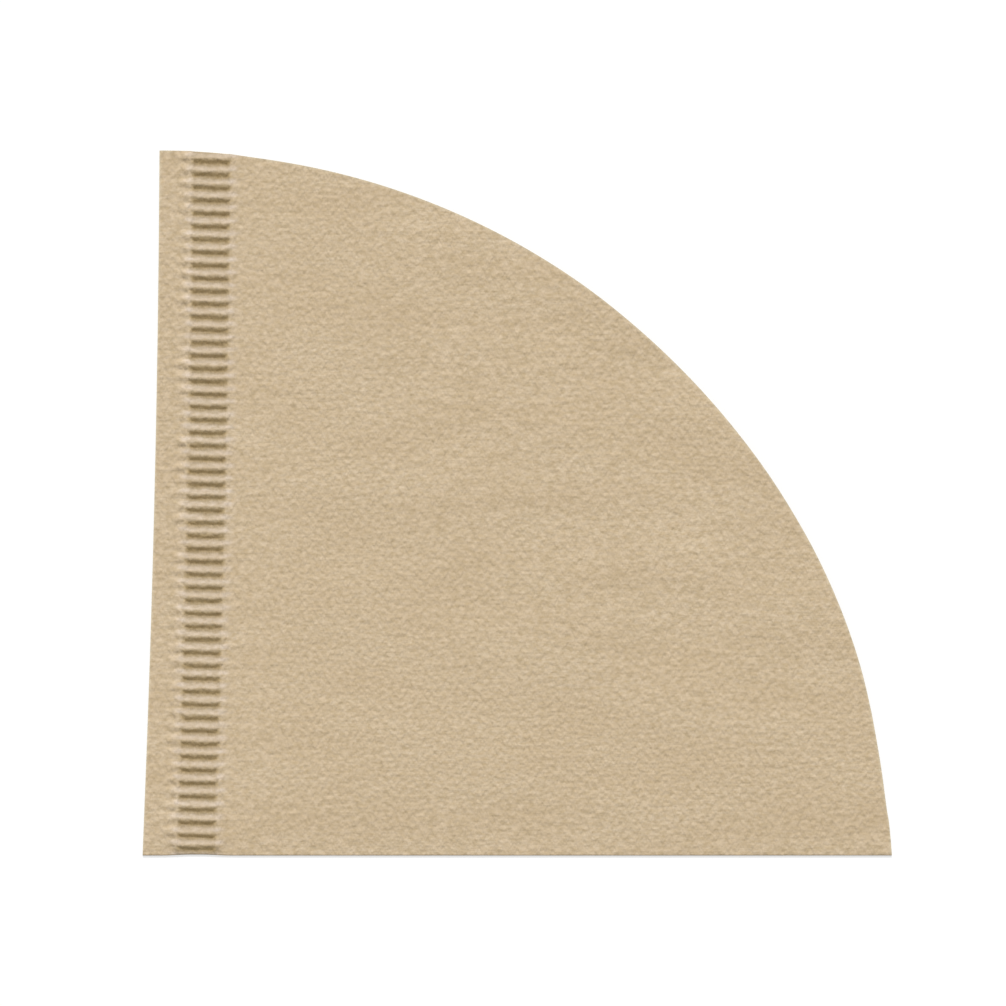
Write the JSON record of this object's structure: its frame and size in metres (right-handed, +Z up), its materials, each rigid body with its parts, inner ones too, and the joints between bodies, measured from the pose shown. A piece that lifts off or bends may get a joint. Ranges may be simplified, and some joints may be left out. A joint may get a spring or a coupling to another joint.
{
  "type": "paper coffee filter",
  "caption": "Unbleached cone coffee filter: one sheet of crepe paper folded flat, with a crimped seam and an arched rim.",
  "frame": {"origin": "on the underside of the lower ply, at the centre of the rectangle that the flat filter fills", "axes": "+X along the fold, away from the crimped seam; +Y from the fold towards the rim; +Z up through the plies"},
  "size_m": [0.1488, 0.1398, 0.0021],
  "materials": {
    "paper": "matte creped unbleached kraft paper"
  },
  "bodies": {
    "root": {"filter_paper": "paper"}
  },
  "joints": []
}
